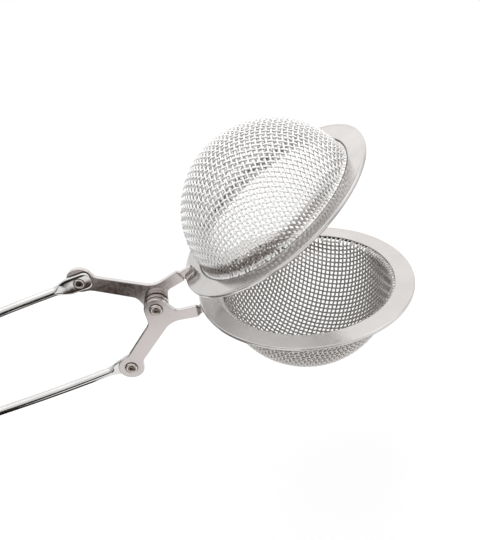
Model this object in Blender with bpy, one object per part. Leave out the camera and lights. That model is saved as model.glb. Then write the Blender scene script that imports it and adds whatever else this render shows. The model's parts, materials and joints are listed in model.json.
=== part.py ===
"""Mesh tea ball with a squeeze handle: two woven half balls on two levers, one in front of the other,
riveted at one centre pivot and to the ends of a hairpin spring handle. Squeezing it opens the ball.

Frame: metres, +Z up, +X from the handle to the ball, pivot axes along Y. The lower half ball stands
upright and the ball is open by OPEN_ANGLE. The origin is the bottom centre of the bounding box.
"""

import math

import bmesh
import bpy
from mathutils import Matrix, Vector

MM = 0.001

# Motion
OPEN_ANGLE = math.radians(34.0)          # between the two rims in the stored pose
REAR_ARM_ANGLE = math.radians(118.5)     # rear arm of a lever, from its rim plane

# Half ball
RIM_RADIUS = 27.5 * MM
MOUTH_RADIUS = 22.6 * MM
MESH_RADIUS = 22.0 * MM                  # outside of the woven half ball
MESH_THICKNESS = 0.5 * MM
BRIM_RADIUS = 25.0 * MM                  # the brim of the mesh lies between the two rings
BRIM_THICKNESS = 0.2 * MM
PIVOT_TO_BALL = 38.2 * MM
BALL_SIDE_OFFSET = 4.1 * MM              # ball centre, beyond the middle plane of the levers
MATING_GAP = 0.15 * MM                   # from the plane where the rims meet to each rim
FRONT_SHEET = 0.3 * MM                   # rim plate
BACK_SHEET = 0.25 * MM                   # flange ring
SHEET_GAP = 0.08 * MM
LIP_WIDTH = 0.3 * MM
LIP_GAP = 0.2 * MM
MESH_GAP = 0.35 * MM
BRIM_BASE = MATING_GAP + FRONT_SHEET + SHEET_GAP
RING_BASE = BRIM_BASE + BRIM_THICKNESS + SHEET_GAP
RIM_BACK = RING_BASE + BACK_SHEET
RIM_ROUND = 0.12 * MM

# Levers
LEVER_THICKNESS = 1.2 * MM
LAYER_GAP = 0.3 * MM
REAR_ARM_LENGTH = 20.0 * MM
REAR_DISC_RADIUS = 3.4 * MM
DISC_WRAP = math.radians(125.0)          # the end disc is free of the arm this far each way
EAR_RADIUS = 3.1 * MM
EAR_START = math.radians(172.0)
EAR_END = math.radians(338.0)
FRONT_END = 14.5 * MM
FRONT_TOP = 3.2 * MM
FRONT_UNDERSIDE = 0.4 * MM
FRONT_CORNER_ROUND = 0.6 * MM
JOGGLE_START = 10.0 * MM
JOGGLE_END = 11.2 * MM
FOOT_BOTTOM = RIM_BACK + 0.15 * MM
FOOT_THICKNESS = 0.8 * MM
FOOT_REACH = 1.3 * MM
FOOT_START = 11.4 * MM
FOOT_ROUND = 0.6 * MM
FOOT_INSET = 0.1 * MM                    # the foot stays this far inside the fin's own faces
EDGE_ROUND = 0.22 * MM

# Corners of the lever: (x, z, fillet radius) near the pivot, (along, across, radius) on the rear arm
SHOULDER = (3.05 * MM, 4.2 * MM, 6.0 * MM)
EAR_FILLET = (4.9 * MM, 1.05 * MM, 1.7 * MM)
FRONT_NECK = (17.08 * MM, 2.1 * MM, 2.6 * MM)
REAR_NECK = (16.8 * MM, -1.9 * MM, 4.6 * MM)
WAIST = (5.1 * MM, -0.2 * MM, 3.0 * MM)

# Rivets and spacer
SHANK_RADIUS = 1.0 * MM
HOLE_RADIUS = 1.2 * MM
DRILL_LENGTH = 12.0 * MM
RIVET_HEAD_RADIUS = 1.65 * MM
RIVET_HEAD_HEIGHT = 0.6 * MM
RIVET_BORE_RADIUS = 0.65 * MM
RIVET_BORE_DEPTH = 1.4 * MM
RIVET_BACK_RADIUS = 1.8 * MM
RIVET_BACK_EDGE = 0.2 * MM
RIVET_BACK_DOME = 0.4 * MM
RIVET_GAP = 0.15 * MM
SPACER_RADIUS = 3.2 * MM
SPACER_HOLE_RADIUS = 1.3 * MM

# Handle
WIRE_RADIUS = 1.15 * MM
BLADE_THICKNESS = 1.0 * MM
BLADE_HALF_WIDTH = 2.25 * MM
BLADE_TIP = 3.0 * MM                     # from the rivet to the rounded end of the blade
BLADE_TIP_ROUND = 1.6 * MM
BLADE_LENGTH = 6.6 * MM                  # from the rivet to the round wire
BLADE_NECK = 2.5 * MM                    # from the rivet to where the blade starts to narrow
BLADE_TIP_SHARE = 0.25                   # width of the very tip, as a share of the blade's
BLADE_SQUARENESS = 4.0                   # superellipse power of the blade's section
ROUND_SECTION = 2.0
LEG_LENGTH = 80.0 * MM
START_HEADING = math.radians(2.0)        # a leg leaves its rivet a little outwards
END_HEADING = math.radians(6.0)          # and reaches the bend a little inwards
OPEN_BEND_GAP = 0.9 * MM                 # from the middle of the bend to the end of each half

# Derived
LEVER_OFFSET = (BLADE_THICKNESS + LEVER_THICKNESS) / 2.0 + LAYER_GAP
MIDDLE_ANGLE = OPEN_ANGLE / 2.0
REAR_HALF_ANGLE = math.pi - REAR_ARM_ANGLE - MIDDLE_ANGLE
LEG_SPACING = REAR_ARM_LENGTH * math.sin(REAR_HALF_ANGLE)

ROUND_SEGMENTS = 64
DOME_SEGMENTS = 48
DOME_RINGS = 8
RIVET_SEGMENTS = 16
SPACER_SEGMENTS = 20
WIRE_SIDES = 12
BEND_STEPS = 9
BOW_STEPS = 7
TIP_STEPS = 4
BLADE_STEPS = 5
DISC_STEPS = 12
EAR_STEPS = 9
DOME_STEPS = 3
SMOOTH_ANGLE = math.radians(35.0)
MERGE_DISTANCE = 0.002 * MM
SLIVER_LENGTH = 0.0005 * MM
LEVEL_TOLERANCE = 0.01 * MM

STEEL = (0.62, 0.60, 0.58, 1.0)
POLISHED = (0.72, 0.70, 0.69, 1.0)
MESH_STEEL = (0.70, 0.69, 0.68, 1.0)
STAMPED_ROUGHNESS = 0.22
POLISHED_ROUGHNESS = 0.14
MESH_ROUGHNESS = 0.35
WIRE_ROUGHNESS = 0.12


def clear_scene():
    for obj in list(bpy.data.objects):
        bpy.data.objects.remove(obj, do_unlink=True)


def metal(name, colour, roughness):
    material = bpy.data.materials.new(name)
    material.use_nodes = True
    shader = material.node_tree.nodes["Principled BSDF"]
    shader.inputs["Base Color"].default_value = colour
    shader.inputs["Metallic"].default_value = 1.0
    shader.inputs["Roughness"].default_value = roughness
    return material


def empty(name, location, turn=0.0, parent=None):
    """A frame whose local Y is a pivot axis; turn swings its X towards +Z."""
    frame = bpy.data.objects.new(name, None)
    bpy.context.collection.objects.link(frame)
    frame.location = location
    frame.rotation_euler = (0.0, -turn, 0.0)
    frame.parent = parent
    return frame


def place(name, mesh, material, parent, location=(0.0, 0.0, 0.0), flipped=False):
    """One sub-part; flipped turns it half a turn about X, which makes the lower twin."""
    obj = bpy.data.objects.new(name, mesh)
    bpy.context.collection.objects.link(obj)
    if material.name not in mesh.materials:
        mesh.materials.append(material)
    obj.location = location
    obj.rotation_euler = (math.pi if flipped else 0.0, 0.0, 0.0)
    obj.parent = parent
    return obj


def smoothed(mesh):
    mesh.shade_smooth()
    mesh.set_sharp_from_angle(angle=SMOOTH_ANGLE)
    return mesh


def finish_mesh(bm, name):
    bmesh.ops.recalc_face_normals(bm, faces=bm.faces)
    mesh = bpy.data.meshes.new(name)
    bm.to_mesh(mesh)
    bm.free()
    return smoothed(mesh)


def arc(centre, radius, start, end, count):
    """Points on an arc in a plane, both ends included."""
    points = []
    for i in range(count + 1):
        angle = start + (end - start) * i / count
        points.append((centre[0] + radius * math.cos(angle), centre[1] + radius * math.sin(angle)))
    return points


def rounded(corners, steps=4):
    """An outline from (x, z, radius) corners: a radius above zero becomes an arc."""
    points = []
    count = len(corners)
    for i, (x, z, radius) in enumerate(corners):
        here = Vector((x, z))
        if radius <= 0.0:
            points.append((x, z))
            continue
        back = (Vector(corners[i - 1][:2]) - here).normalized()
        ahead = (Vector(corners[(i + 1) % count][:2]) - here).normalized()
        half = back.angle(ahead) / 2.0
        start = here + back * radius / math.tan(half)
        end = here + ahead * radius / math.tan(half)
        centre = here + (back + ahead).normalized() * radius / math.sin(half)
        first = math.atan2(start.y - centre.y, start.x - centre.x)
        sweep = math.atan2(end.y - centre.y, end.x - centre.x) - first
        sweep = (sweep + math.pi) % (2.0 * math.pi) - math.pi
        points.extend(arc(centre, radius, first, first + sweep, steps))
    return points


def turned(profile, axis, segments, closed):
    """A solid of revolution about Z or Y from (radius, height) points.

    A closed profile is a ring section; an open one runs from the axis to the axis.
    """
    bm = bmesh.new()
    if axis == "Z":
        verts = [bm.verts.new((r, 0.0, h)) for r, h in profile]
        turn_axis = (0.0, 0.0, 1.0)
    else:
        verts = [bm.verts.new((r, h, 0.0)) for r, h in profile]
        turn_axis = (0.0, 1.0, 0.0)
    pairs = list(zip(verts, verts[1:]))
    if closed:
        pairs.append((verts[-1], verts[0]))
    edges = [bm.edges.new(pair) for pair in pairs]
    bmesh.ops.spin(
        bm,
        geom=verts + edges,
        cent=(0.0, 0.0, 0.0),
        axis=turn_axis,
        angle=2.0 * math.pi,
        steps=segments,
        use_merge=True,
    )
    bmesh.ops.remove_doubles(bm, verts=bm.verts, dist=MERGE_DISTANCE)
    bmesh.ops.dissolve_degenerate(bm, edges=bm.edges, dist=SLIVER_LENGTH)
    return bm


def bored(mesh, centres, radius):
    """Cut round holes along Y through a mesh."""
    for x, z in centres:
        cutter_bm = bmesh.new()
        bmesh.ops.create_cone(
            cutter_bm,
            cap_ends=True,
            segments=RIVET_SEGMENTS,
            radius1=radius,
            radius2=radius,
            depth=DRILL_LENGTH,
            matrix=Matrix.Translation((x, 0.0, z)) @ Matrix.Rotation(math.pi / 2.0, 4, "X"),
        )
        cutter_mesh = bpy.data.meshes.new("cutter")
        cutter_bm.to_mesh(cutter_mesh)
        cutter_bm.free()
        mesh = boolean(mesh, cutter_mesh, "DIFFERENCE")
    return mesh


def boolean(mesh, other, operation):
    """The mesh after an exact Boolean with another mesh; the other mesh is used up."""
    body = bpy.data.objects.new("body", mesh)
    tool = bpy.data.objects.new("tool", other)
    bpy.context.collection.objects.link(body)
    bpy.context.collection.objects.link(tool)
    modifier = body.modifiers.new("Boolean", "BOOLEAN")
    modifier.operation = operation
    modifier.solver = "EXACT"
    modifier.object = tool
    depsgraph = bpy.context.evaluated_depsgraph_get()
    result = bpy.data.meshes.new_from_object(body.evaluated_get(depsgraph))
    bpy.data.objects.remove(body, do_unlink=True)
    bpy.data.objects.remove(tool, do_unlink=True)
    return result


def rim_plate_mesh():
    """The face ring that meets the other half, with its outer edge turned up as a lip."""
    bottom = MATING_GAP
    top = bottom + FRONT_SHEET
    section = rounded([
        (MOUTH_RADIUS, bottom, RIM_ROUND),
        (RIM_RADIUS, bottom, RIM_ROUND),
        (RIM_RADIUS, RIM_BACK, 0.0),
        (RIM_RADIUS - LIP_WIDTH, RIM_BACK, 0.0),
        (RIM_RADIUS - LIP_WIDTH, top, 0.0),
        (MOUTH_RADIUS, top, 0.0),
    ], steps=1)
    return finish_mesh(turned(section, "Z", ROUND_SEGMENTS, closed=True), "rim_plate")


def flange_ring_mesh():
    """The ring behind the rim plate, which holds down the brim of the mesh."""
    inner = MESH_RADIUS + MESH_GAP
    outer = RIM_RADIUS - LIP_WIDTH - LIP_GAP
    section = [(inner, RING_BASE), (outer, RING_BASE), (outer, RIM_BACK), (inner, RIM_BACK)]
    return finish_mesh(turned(section, "Z", ROUND_SEGMENTS, closed=True), "flange_ring")


def mesh_dome_mesh():
    """The half ball as one thin shell with a flat brim that lies between the two rings."""
    base = BRIM_BASE
    brim_top = base + BRIM_THICKNESS
    inner_radius = MESH_RADIUS - MESH_THICKNESS
    outside = arc((0.0, 0.0), MESH_RADIUS, math.asin(brim_top / MESH_RADIUS), math.pi / 2.0, DOME_RINGS)
    inside = arc((0.0, 0.0), inner_radius, math.pi / 2.0, math.asin(base / inner_radius), DOME_RINGS)
    outside[-1] = (0.0, MESH_RADIUS)
    inside[0] = (0.0, inner_radius)
    brim = [(BRIM_RADIUS, base), (BRIM_RADIUS, brim_top)]
    section = inside + brim + outside
    return finish_mesh(turned(section, "Z", DOME_SEGMENTS, closed=False), "mesh_dome")


def beside_arm(along, across):
    """A point in the plane of a lever, measured along its rear arm and across it, outwards."""
    x = along * math.cos(REAR_ARM_ANGLE) + across * math.sin(REAR_ARM_ANGLE)
    z = along * math.sin(REAR_ARM_ANGLE) - across * math.cos(REAR_ARM_ANGLE)
    return (x, z)


def on_arm(corner):
    """A corner given along and across the rear arm, as (x, z, radius)."""
    along, across, radius = corner
    return (*beside_arm(along, across), radius)


def lever_outline():
    """The flat outline of a lever in its own X-Z plane: front arm, pivot ear and rear arm."""
    rear = beside_arm(REAR_ARM_LENGTH, 0.0)
    disc_start = REAR_ARM_ANGLE - DISC_WRAP
    disc_end = REAR_ARM_ANGLE + DISC_WRAP
    disc = arc(rear, REAR_DISC_RADIUS, disc_start, disc_end, DISC_STEPS)
    ear = arc((0.0, 0.0), EAR_RADIUS, EAR_START, EAR_END, EAR_STEPS)
    middle = (JOGGLE_START + JOGGLE_END) / 2.0
    corners = [
        (JOGGLE_START, FRONT_UNDERSIDE, 0.0),
        (middle, FOOT_BOTTOM, 0.0),
        (FRONT_END, FOOT_BOTTOM, 0.0),
        (FRONT_END, FRONT_TOP, FRONT_CORNER_ROUND),
        SHOULDER,
        on_arm(FRONT_NECK),
    ]
    corners += [(x, z, 0.0) for x, z in disc]
    corners += [on_arm(REAR_NECK), on_arm(WAIST)]
    corners += [(x, z, 0.0) for x, z in ear]
    corners += [EAR_FILLET]
    return rounded(corners), rear


def is_level(edge):
    return abs(edge.verts[0].co.y - edge.verts[1].co.y) < LEVEL_TOLERANCE


def lever_mesh():
    """A stamped plate: the outline, rolled edges, a joggle to the middle plane and a bent foot."""
    outline, rear = lever_outline()
    bm = bmesh.new()
    back = LEVER_OFFSET - LEVER_THICKNESS / 2.0
    face = bm.faces.new([bm.verts.new((x, back, z)) for x, z in outline])
    grown = bmesh.ops.extrude_face_region(bm, geom=[face])
    moved = [item for item in grown["geom"] if isinstance(item, bmesh.types.BMVert)]
    bmesh.ops.translate(bm, verts=moved, vec=(0.0, LEVER_THICKNESS, 0.0))
    bmesh.ops.recalc_face_normals(bm, faces=bm.faces)
    rims = [edge for edge in bm.edges if is_level(edge)]
    bmesh.ops.bevel(bm, geom=rims, offset=EDGE_ROUND, segments=1, profile=0.5, affect="EDGES")
    for x in (JOGGLE_START, JOGGLE_END):
        bmesh.ops.bisect_plane(
            bm,
            geom=bm.verts[:] + bm.edges[:] + bm.faces[:],
            plane_co=(x, 0.0, 0.0),
            plane_no=(1.0, 0.0, 0.0),
        )
    for vert in bm.verts:
        share = (vert.co.x - JOGGLE_START) / (JOGGLE_END - JOGGLE_START)
        vert.co.y -= LEVER_OFFSET * min(max(share, 0.0), 1.0)
    bmesh.ops.triangulate(bm, faces=bm.faces)
    plate = finish_mesh(bm, "lever")
    plate = boolean(plate, foot_mesh(), "UNION")
    return smoothed(bored(plate, [(0.0, 0.0), rear], HOLE_RADIUS))


def foot_mesh():
    """The foot at the front of a lever, lying on the flange ring to one side of the fin."""
    inner = LEVER_THICKNESS / 2.0 - FOOT_INSET
    outer = -LEVER_THICKNESS / 2.0 - FOOT_REACH
    end = FRONT_END - FOOT_INSET
    outline = rounded([
        (FOOT_START, inner, 0.0),
        (FOOT_START, outer, FOOT_ROUND),
        (end, outer, FOOT_ROUND),
        (end, inner, 0.0),
    ])
    bm = bmesh.new()
    face = bm.faces.new([bm.verts.new((x, y, FOOT_BOTTOM)) for x, y in outline])
    grown = bmesh.ops.extrude_face_region(bm, geom=[face])
    moved = [item for item in grown["geom"] if isinstance(item, bmesh.types.BMVert)]
    bmesh.ops.translate(bm, verts=moved, vec=(0.0, 0.0, FOOT_THICKNESS))
    bmesh.ops.recalc_face_normals(bm, faces=bm.faces)
    middle = FOOT_BOTTOM + FOOT_THICKNESS / 2.0
    edges = [edge for edge in bm.edges if all(vert.co.z > middle for vert in edge.verts)]
    bmesh.ops.bevel(bm, geom=edges, offset=EDGE_ROUND, segments=1, profile=0.5, affect="EDGES")
    return finish_mesh(bm, "foot")


def rivet_mesh(front, back):
    """A tubular rivet along Y: a rolled hollow head before front, a low dome behind back."""
    head_under = front - RIVET_GAP
    head_top = head_under - RIVET_HEAD_HEIGHT
    back_under = back + RIVET_GAP
    bore_end = head_top + RIVET_BORE_DEPTH
    roll = (RIVET_HEAD_RADIUS - RIVET_BORE_RADIUS) / 2.0
    profile = [(0.0, bore_end), (RIVET_BORE_RADIUS, bore_end)]
    profile += arc((RIVET_BORE_RADIUS + roll, head_top + roll), roll, math.pi, 2.0 * math.pi, 4)
    profile += [
        (RIVET_HEAD_RADIUS, head_under),
        (SHANK_RADIUS, head_under),
        (SHANK_RADIUS, back_under),
        (RIVET_BACK_RADIUS, back_under),
    ]
    for i in range(DOME_STEPS):
        angle = math.pi / 2.0 * i / DOME_STEPS
        height = RIVET_BACK_EDGE + RIVET_BACK_DOME * math.sin(angle)
        profile.append((RIVET_BACK_RADIUS * math.cos(angle), back_under + height))
    profile.append((0.0, back_under + RIVET_BACK_EDGE + RIVET_BACK_DOME))
    return finish_mesh(turned(profile, "Y", RIVET_SEGMENTS, closed=False), "rivet")


def spacer_mesh():
    """The washer that keeps the two levers apart at the centre pivot."""
    half = BLADE_THICKNESS / 2.0
    section = [
        (SPACER_HOLE_RADIUS, -half),
        (SPACER_RADIUS, -half),
        (SPACER_RADIUS, half),
        (SPACER_HOLE_RADIUS, half),
    ]
    return finish_mesh(turned(section, "Y", SPACER_SEGMENTS, closed=True), "spacer")


def eased(value, start, end):
    """0 before start, 1 after end, and a smooth step between them."""
    share = min(max((value - start) / (end - start), 0.0), 1.0)
    return share * share * (3.0 - 2.0 * share)


def leg_stations():
    """(point, heading, half width, half thickness, squareness) along a leg, from the blade's tip."""
    bow_radius = LEG_LENGTH / (math.sin(START_HEADING) + math.sin(END_HEADING))
    bow_drop = bow_radius * (math.cos(START_HEADING) - math.cos(END_HEADING))
    bend_radius = (LEG_SPACING - bow_drop) / math.cos(END_HEADING)
    flat = BLADE_THICKNESS / 2.0
    stations = []
    for i in range(TIP_STEPS + 1):
        angle = math.pi / 2.0 * i / TIP_STEPS
        reach = BLADE_TIP - BLADE_TIP_ROUND * (1.0 - math.cos(angle))
        width = BLADE_HALF_WIDTH * (BLADE_TIP_SHARE + (1.0 - BLADE_TIP_SHARE) * math.sin(angle))
        point = (reach * math.cos(START_HEADING), -reach * math.sin(START_HEADING))
        stations.append((point, START_HEADING, width, flat, BLADE_SQUARENESS))
    neck_length = BLADE_LENGTH - BLADE_NECK
    bow_length = LEG_LENGTH - BLADE_LENGTH
    distances = [0.0]
    distances += [BLADE_NECK + neck_length * i / BLADE_STEPS for i in range(BLADE_STEPS + 1)]
    distances += [BLADE_LENGTH + bow_length * (i + 1) / BOW_STEPS for i in range(BOW_STEPS)]
    for distance in distances:
        heading = START_HEADING - (START_HEADING + END_HEADING) * distance / LEG_LENGTH
        along = bow_radius * (math.sin(START_HEADING) - math.sin(heading))
        rise = bow_radius * (math.cos(heading) - math.cos(START_HEADING))
        narrow = eased(distance, BLADE_NECK, BLADE_LENGTH)
        thick = eased(distance, BLADE_NECK + neck_length / 2.0, BLADE_LENGTH)
        width = BLADE_HALF_WIDTH + (WIRE_RADIUS - BLADE_HALF_WIDTH) * narrow
        depth = flat + (WIRE_RADIUS - flat) * thick
        squareness = BLADE_SQUARENESS + (ROUND_SECTION - BLADE_SQUARENESS) * thick
        stations.append(((-along, rise), heading, width, depth, squareness))
    end_x, end_z = stations[-1][0]
    last_turn = math.pi / 2.0 - END_HEADING - OPEN_BEND_GAP / bend_radius
    for i in range(1, BEND_STEPS + 1):
        heading = -END_HEADING - last_turn * i / BEND_STEPS
        along = bend_radius * (math.sin(-heading) - math.sin(END_HEADING))
        drop = bend_radius * (math.cos(END_HEADING) - math.cos(heading))
        point = (end_x - along, end_z - drop)
        stations.append((point, heading, WIRE_RADIUS, WIRE_RADIUS, ROUND_SECTION))
    return stations


def leg_mesh():
    """One leg of the hairpin handle: a flattened blade, a bowed wire and half of the end bend."""
    bm = bmesh.new()
    rings = []
    for (x, z), heading, width, depth, squareness in leg_stations():
        across = Vector((math.sin(heading), 0.0, math.cos(heading)))
        ring = []
        for i in range(WIRE_SIDES):
            angle = 2.0 * math.pi * i / WIRE_SIDES
            c = math.cos(angle)
            s = math.sin(angle)
            u = math.copysign(abs(c) ** (2.0 / squareness), c) * width
            v = math.copysign(abs(s) ** (2.0 / squareness), s) * depth
            ring.append(bm.verts.new(Vector((x, v, z)) + across * u))
        rings.append(ring)
    for first, second in zip(rings, rings[1:]):
        for i in range(WIRE_SIDES):
            j = (i + 1) % WIRE_SIDES
            bm.faces.new((first[i], first[j], second[j], second[i]))
    bm.faces.new(rings[0][::-1])
    bm.faces.new(rings[-1])
    bmesh.ops.triangulate(bm, faces=bm.faces)
    return smoothed(bored(finish_mesh(bm, "handle_leg"), [(0.0, 0.0)], HOLE_RADIUS))


def build_half(prefix, frame, meshes, steel, polished, woven, flipped):
    """The rim plate, flange ring, mesh and lever of one half, in that half's own frame."""
    ball = (PIVOT_TO_BALL, BALL_SIDE_OFFSET, 0.0)
    place(prefix + "_rim_plate", meshes["rim_plate"], polished, frame, ball, flipped)
    place(prefix + "_flange_ring", meshes["flange_ring"], polished, frame, ball, flipped)
    place(prefix + "_mesh_bowl", meshes["mesh_dome"], woven, frame, ball, flipped)
    place(prefix + "_lever", meshes["lever"], steel, frame, (0.0, 0.0, 0.0), flipped)


def rear_pivot(side):
    """A rear rivet in the frame of its half; side is 1 for the upper half, -1 for the lower."""
    x = REAR_ARM_LENGTH * math.cos(REAR_ARM_ANGLE)
    z = REAR_ARM_LENGTH * math.sin(REAR_ARM_ANGLE)
    return (x, 0.0, side * z)


def stand_on_origin(root):
    """Move the whole object so that the bottom centre of its bounding box is at the origin."""
    bpy.context.view_layer.update()
    corners = []
    for obj in bpy.data.objects:
        if obj.type == "MESH":
            corners += [obj.matrix_world @ vert.co for vert in obj.data.vertices]
    low = [min(corner[i] for corner in corners) for i in range(3)]
    high = [max(corner[i] for corner in corners) for i in range(3)]
    root.location = (-(low[0] + high[0]) / 2.0, -(low[1] + high[1]) / 2.0, -low[2])
    bpy.context.view_layer.update()


def build():
    clear_scene()
    steel = metal("stamped_steel", STEEL, STAMPED_ROUGHNESS)
    polished = metal("polished_steel", POLISHED, POLISHED_ROUGHNESS)
    woven = metal("woven_steel", MESH_STEEL, MESH_ROUGHNESS)
    wire = metal("spring_wire", POLISHED, WIRE_ROUGHNESS)
    meshes = {
        "rim_plate": rim_plate_mesh(),
        "flange_ring": flange_ring_mesh(),
        "mesh_dome": mesh_dome_mesh(),
        "lever": lever_mesh(),
    }
    root = empty("infuser", (0.0, 0.0, 0.0))
    lower = empty("lower_half_frame", (0.0, 0.0, 0.0), 0.0, root)
    upper = empty("upper_half_frame", (0.0, 0.0, 0.0), OPEN_ANGLE, root)
    build_half("lower", lower, meshes, steel, polished, woven, flipped=True)
    build_half("upper", upper, meshes, steel, polished, woven, flipped=False)

    lever_face = LEVER_OFFSET + LEVER_THICKNESS / 2.0
    blade_face = BLADE_THICKNESS / 2.0
    place("centre_rivet", rivet_mesh(-lever_face, lever_face), polished, lower)
    place("centre_spacer", spacer_mesh(), steel, lower)
    lower_pivot = rear_pivot(-1.0)
    upper_pivot = rear_pivot(1.0)
    place("lower_rear_rivet", rivet_mesh(-lever_face, blade_face), polished, lower, lower_pivot)
    place("upper_rear_rivet", rivet_mesh(-blade_face, lever_face), polished, upper, upper_pivot)

    leg = leg_mesh()
    upper_leg_frame = empty("upper_handle_frame", upper_pivot, MIDDLE_ANGLE - OPEN_ANGLE, upper)
    lower_leg_frame = empty("lower_handle_frame", lower_pivot, MIDDLE_ANGLE, lower)
    place("upper_handle_leg", leg, wire, upper_leg_frame)
    place("lower_handle_leg", leg, wire, lower_leg_frame, flipped=True)
    stand_on_origin(root)


build()
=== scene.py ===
"""Looks of the mesh tea ball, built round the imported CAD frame. Lengths are in metres."""

import json
import math

import bmesh
import bpy
from mathutils import Matrix, Vector

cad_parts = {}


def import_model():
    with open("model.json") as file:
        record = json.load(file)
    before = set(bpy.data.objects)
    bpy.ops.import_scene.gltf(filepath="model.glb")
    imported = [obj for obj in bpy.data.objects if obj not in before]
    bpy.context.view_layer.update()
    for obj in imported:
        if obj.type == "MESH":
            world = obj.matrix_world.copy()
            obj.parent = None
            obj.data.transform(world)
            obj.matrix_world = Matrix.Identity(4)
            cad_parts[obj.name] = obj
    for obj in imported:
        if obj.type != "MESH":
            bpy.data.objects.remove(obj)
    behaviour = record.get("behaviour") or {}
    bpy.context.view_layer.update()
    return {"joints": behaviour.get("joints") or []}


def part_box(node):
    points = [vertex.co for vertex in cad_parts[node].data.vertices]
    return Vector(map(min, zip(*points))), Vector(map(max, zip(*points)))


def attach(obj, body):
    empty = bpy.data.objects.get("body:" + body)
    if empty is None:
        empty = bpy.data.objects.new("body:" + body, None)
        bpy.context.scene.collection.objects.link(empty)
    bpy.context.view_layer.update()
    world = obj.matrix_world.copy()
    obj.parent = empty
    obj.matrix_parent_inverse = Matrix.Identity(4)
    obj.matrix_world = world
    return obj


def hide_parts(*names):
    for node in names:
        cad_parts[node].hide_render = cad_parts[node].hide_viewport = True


MM = 0.001
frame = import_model()

# ---------------------------------------------------------------- what the frame says
joints = {joint["name"]: joint for joint in frame["joints"]}
PIVOT = Vector(joints["opening"]["pos_m"])
UPPER_PIN = Vector(joints["upper_rear_pivot"]["pos_m"])
LOWER_PIN = Vector(joints["lower_rear_pivot"]["pos_m"])
OPEN_ANGLE = -math.radians(joints["opening"]["range_deg"][0])

rim_low, rim_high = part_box("lower_rim_plate")
RIM_RADIUS = (rim_high.x - rim_low.x) / 2.0
BALL_X = (rim_high.x + rim_low.x) / 2.0 - PIVOT.x
BALL_Y = (rim_high.y + rim_low.y) / 2.0 - PIVOT.y
MATING_GAP = PIVOT.z - rim_high.z
RIM_BACK = PIVOT.z - rim_low.z

# Each half is made with the pivot at its origin, so that the halves meet at Z = 0, and the ball above.
UPPER = Matrix.Translation(PIVOT) @ Matrix.Rotation(-OPEN_ANGLE, 4, "Y")
LOWER = Matrix.Translation(PIVOT) @ Matrix.Rotation(math.pi, 4, "X")
BALL = Matrix.Translation((BALL_X, BALL_Y, 0.0))
BALL_LOWER = Matrix.Translation((BALL_X, -BALL_Y, 0.0))
UPPER_PLACE = ((UPPER @ BALL).translation, UPPER.to_3x3() @ Vector((0.0, 0.0, 1.0)))
LOWER_PLACE = ((LOWER @ BALL_LOWER).translation, Vector((0.0, 0.0, -1.0)))

# ---------------------------------------------------------------- driving sizes
MOUTH_RADIUS = 22.6 * MM
NET_RADIUS = 21.72 * MM
NET_PITCH = 1.21 * MM
NET_WIRE_RADIUS = 0.245 * MM
UPPER_TURN, LOWER_TURN = math.radians(-9.0), math.radians(25.0)

ARM = (UPPER_PIN - PIVOT).length
ARM_ANGLE = math.radians(118.5)
PLATE = 1.2 * MM
LAYER = 1.4 * MM
PLATE_FACE = LAYER + PLATE / 2.0
BLADE_HALF_DEPTH = 0.5 * MM

RIM_SEGMENTS, RIVET_SEGMENTS, WASHER_SEGMENTS, DRILL_SEGMENTS = 256, 64, 96, 48
NET_SIDES, WIRE_SIDES = 6, 40
TINY = 1e-7

# ---------------------------------------------------------------- colours
# Each steel has two, for its clean surface and for its patches of tarnish.
LEVER_COLOURS = ((0.57, 0.525, 0.515, 1.0), (0.53, 0.487, 0.477, 1.0))
WIRE_COLOURS = ((0.74, 0.73, 0.72, 1.0), (0.64, 0.63, 0.62, 1.0))
RIVET_COLOURS = ((0.66, 0.61, 0.58, 1.0), (0.52, 0.47, 0.44, 1.0))
FLANGE_COLOURS = ((0.66, 0.64, 0.63, 1.0), (0.60, 0.58, 0.57, 1.0))
# The cloth's wires: crests painted near white as if lit, dips in painted shade, and both darker in a
# painted shade band by the flange
CREST_COLOURS = ((0.99, 0.985, 0.98, 1.0), (0.95, 0.94, 0.93, 1.0))
CREST_BAND_SHADE = (0.27, 0.225, 0.205, 1.0)
DIP_SHADE = (0.47, 0.455, 0.445, 1.0)
DIP_BAND_SHADE = (0.015, 0.011, 0.01, 1.0)
LEVER_EDGE_HIGHLIGHT = (0.66, 0.635, 0.625, 1.0)
RIVET_SHADE = (0.035, 0.028, 0.024, 1.0)
FLANGE_SHADE = (0.06, 0.05, 0.045, 1.0)
FLOOR_COLOURS = ((0.93, 0.93, 0.93, 1.0), (0.95, 0.95, 0.95, 1.0))

FLANGE_METALLIC = 0.76
CLOTH_METALLIC = 0.5
# The lower cloth is painted in shade: its colours are the upper cloth's times this share
LOWER_SHADE_SHARE = 0.62

# Noise cells per metre, and the depth of the relief that two of them give
PATCH_SCALE, POLISH_SCALE, GRAIN_SCALE, WAVE_SCALE = 110.0, 1400.0, 5200.0, 90.0
GRAIN_DEPTH, WAVE_DEPTH = 0.004 * MM, 0.12 * MM

# The band of painted shade on the cloth, as heights above the mating plane: it fades in, is full, and fades
# out
SHADE_FOOT, SHADE_LOW, SHADE_HIGH, SHADE_TOP = 1.7 * MM, 2.3 * MM, 3.6 * MM, 4.9 * MM

SHADER = "Principled BSDF"


# ---------------------------------------------------------------- shader nodes
def feed(tree, value, socket):
    """Link an input to another socket, or give it a fixed value."""
    if isinstance(value, bpy.types.NodeSocket):
        tree.links.new(value, socket)
    else:
        socket.default_value = value


def noise(tree, scale, detail):
    coords = tree.nodes.new("ShaderNodeTexCoord")
    texture = tree.nodes.new("ShaderNodeTexNoise")
    texture.inputs["Scale"].default_value = scale
    texture.inputs["Detail"].default_value = detail
    tree.links.new(coords.outputs["Object"], texture.inputs["Vector"])
    return texture.outputs["Fac"]


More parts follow.
